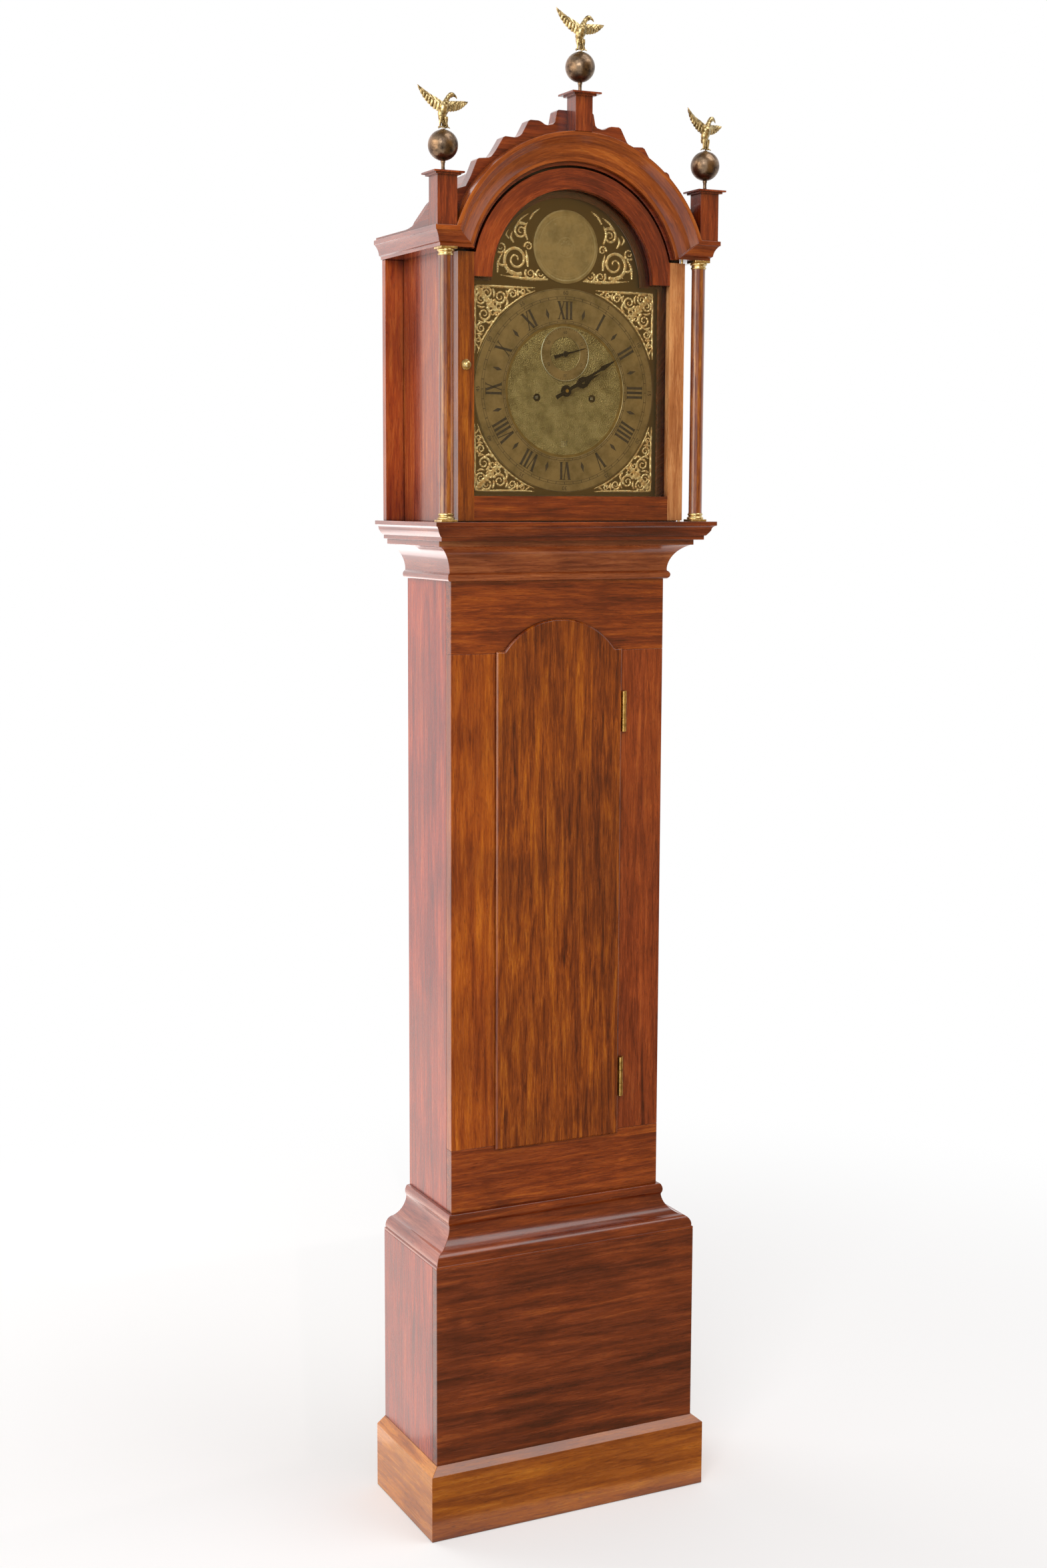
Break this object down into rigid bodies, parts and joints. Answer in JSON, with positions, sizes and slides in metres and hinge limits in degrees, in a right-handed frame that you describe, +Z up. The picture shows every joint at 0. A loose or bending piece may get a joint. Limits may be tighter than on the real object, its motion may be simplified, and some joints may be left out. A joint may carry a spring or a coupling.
{
  "type": "longcase clock",
  "caption": "Tall polished-wood longcase clock: arched brass dial behind a glazed hood door, sliding hood with gilt eagle finials, trunk door, weights, pendulum and striking movement.",
  "frame": {"origin": "on the floor under the middle of the clock's outer box", "axes": "+Z up, the dial faces -Y, +X to the right as seen from the front"},
  "size_m": [0.4928, 0.2374, 2.231],
  "materials": {
    "case_wood": "polished, glossy",
    "plinth_wood": "polished, glossy",
    "back_wood": "bare, planed",
    "cast_brass": "gilt, satin",
    "glass": "clear",
    "dial_brass": "matted",
    "silvered_brass": "grained, silvered",
    "blued_steel": "dark, polished",
    "movement_brass": "polished",
    "bell_metal": "turned",
    "steel": "bright",
    "bob_brass": "satin",
    "lead": "dull, as cast",
    "gut": "waxed"
  },
  "bodies": {
    "case": {"plinth_skirt": "plinth_wood", "base_front": "case_wood", "base_sides": "case_wood", "lower_moulding": "case_wood", "trunk_sides": "case_wood", "trunk_frame": "case_wood", "upper_moulding": "case_wood", "backboard": "back_wood", "seatboard": "back_wood", "stile_hinges": "cast_brass", "dial_plate": "dial_brass", "dial_rings": "silvered_brass", "dial_spandrels": "cast_brass", "front_plate": "movement_brass", "back_plate": "movement_brass", "plate_pillars": "movement_brass", "back_cock": "movement_brass", "bell": "bell_metal", "bell_stand": "steel", "gut_ends": "gut", "going_line": "gut", "strike_line": "gut"},
    "hood": {"hood_base": "case_wood", "hood_sides": "case_wood", "hood_mask": "case_wood", "arch_board": "case_wood", "cornice": "case_wood", "hood_roof": "case_wood", "sweep_boards": "case_wood", "finial_plinths": "case_wood", "columns": "case_wood", "column_brasses": "cast_brass", "finial_balls": "cast_brass", "eagles": "cast_brass"},
    "hood_door": {"hood_door_frame": "case_wood", "hood_door_glass": "glass", "hood_door_brasses": "cast_brass"},
    "trunk_door": {"trunk_door": "case_wood", "trunk_door_hinges": "cast_brass"},
    "date_ring": {"date_ring": "silvered_brass"},
    "minute_hand": {"minute_hand": "blued_steel", "centre_wheel": "movement_brass"},
    "third_wheel": {"third_wheel": "movement_brass"},
    "escape_wheel": {"escape_wheel": "movement_brass", "seconds_hand": "blued_steel"},
    "minute_wheel": {"minute_wheel": "movement_brass"},
    "hour_hand": {"hour_hand": "blued_steel", "hour_wheel": "movement_brass"},
    "going_great_wheel": {"going_great_wheel": "movement_brass"},
    "going_barrel": {"going_barrel": "movement_brass"},
    "strike_great_wheel": {"strike_great_wheel": "movement_brass"},
    "strike_barrel": {"strike_barrel": "movement_brass"},
    "pin_wheel": {"pin_wheel": "movement_brass"},
    "hammer": {"hammer": "steel"},
    "anchor": {"anchor": "steel"},
    "pendulum": {"pendulum": "steel", "pendulum_bob": "bob_brass"},
    "going_weight": {"going_weight": "lead"},
    "strike_weight": {"strike_weight": "lead"}
  },
  "joints": [
    {"name": "hood_slide", "type": "slide", "parent": "case", "child": "hood", "axis": [0, -1, 0], "range_m": [0, 0.25]},
    {"name": "hood_door_hinge", "type": "hinge", "parent": "hood", "child": "hood_door", "pos_m": [0.1795, -0.07875, 1.7], "axis": [0, 0, 1], "range_deg": [0, 100]},
    {"name": "trunk_door_hinge", "type": "hinge", "parent": "case", "child": "trunk_door", "pos_m": [0.108, -0.04575, 0.95], "axis": [0, 0, 1], "range_deg": [0, 105]},
    {"name": "minute_turn", "type": "hinge", "parent": "case", "child": "minute_hand", "pos_m": [0, 0.01, 1.7034], "axis": [0, 1, 0], "continuous": true},
    {"name": "date_turn", "type": "hinge", "parent": "case", "child": "date_ring", "pos_m": [0, 0.01, 1.7034], "axis": [0, 1, 0], "continuous": true},
    {"name": "minute_wheel_turn", "type": "hinge", "parent": "case", "child": "minute_wheel", "pos_m": [-0.024, 0.01, 1.6854], "axis": [0, 1, 0], "continuous": true},
    {"name": "hour_turn", "type": "hinge", "parent": "case", "child": "hour_hand", "pos_m": [0, 0.01, 1.7034], "axis": [0, 1, 0], "continuous": true},
    {"name": "third_turn", "type": "hinge", "parent": "case", "child": "third_wheel", "pos_m": [0.00852, 0.01, 1.73102], "axis": [0, 1, 0], "continuous": true},
    {"name": "escape_turn", "type": "hinge", "parent": "case", "child": "escape_wheel", "pos_m": [0, 0.01, 1.7564], "axis": [0, 1, 0], "continuous": true},
    {"name": "going_great_turn", "type": "hinge", "parent": "case", "child": "going_great_wheel", "pos_m": [0.045, 0.01, 1.6934], "axis": [0, 1, 0], "continuous": true},
    {"name": "going_weight_fall", "type": "slide", "parent": "case", "child": "going_weight", "axis": [0, 0, 1], "range_m": [0, 1.15], "deforming": ["going_line"]},
    {"name": "strike_weight_fall", "type": "slide", "parent": "case", "child": "strike_weight", "axis": [0, 0, 1], "range_m": [0, 1.15], "deforming": ["strike_line"]},
    {"name": "going_barrel_turn", "type": "hinge", "parent": "case", "child": "going_barrel", "pos_m": [0.045, 0.01, 1.6934], "axis": [0, 1, 0], "range_deg": [-5400, 10]},
    {"name": "strike_barrel_turn", "type": "hinge", "parent": "case", "child": "strike_barrel", "pos_m": [-0.045, 0.01, 1.6934], "axis": [0, 1, 0], "range_deg": [-10, 5400]},
    {"name": "strike_great_turn", "type": "hinge", "parent": "case", "child": "strike_great_wheel", "pos_m": [-0.045, 0.01, 1.6934], "axis": [0, 1, 0], "continuous": true},
    {"name": "pin_wheel_turn", "type": "hinge", "parent": "case", "child": "pin_wheel", "pos_m": [-0.03838, 0.01, 1.73094], "axis": [0, 1, 0], "continuous": true},
    {"name": "hammer_lift", "type": "hinge", "parent": "case", "child": "hammer", "pos_m": [-0.063, 0.01, 1.7454], "axis": [0, 1, 0], "range_deg": [-12, 0]},
    {"name": "pendulum_swing", "type": "hinge", "parent": "case", "child": "pendulum", "pos_m": [0, 0.01, 1.7847], "axis": [0, 1, 0], "range_deg": [-2.5, 2.5]},
    {"name": "anchor_rock", "type": "hinge", "parent": "case", "child": "anchor", "pos_m": [0, 0.01, 1.7847], "axis": [0, 1, 0], "range_deg": [-2.5, 2.5]}
  ],
  "couplings": [
    {"joint": "minute_wheel_turn", "follows": "minute_turn", "ratio": -1},
    {"joint": "hour_turn", "follows": "minute_turn", "ratio": 0.083333},
    {"joint": "third_turn", "follows": "minute_turn", "ratio": -7.5},
    {"joint": "escape_turn", "follows": "minute_turn", "ratio": 60},
    {"joint": "going_great_turn", "follows": "minute_turn", "ratio": -0.083333},
    {"joint": "strike_great_turn", "follows": "pin_wheel_turn", "ratio": -0.10256},
    {"joint": "going_barrel_turn", "follows": "going_weight_fall", "rad_per_m": -80.645},
    {"joint": "strike_barrel_turn", "follows": "strike_weight_fall", "rad_per_m": 80.645},
    {"joint": "anchor_rock", "follows": "pendulum_swing", "ratio": 1}
  ]
}
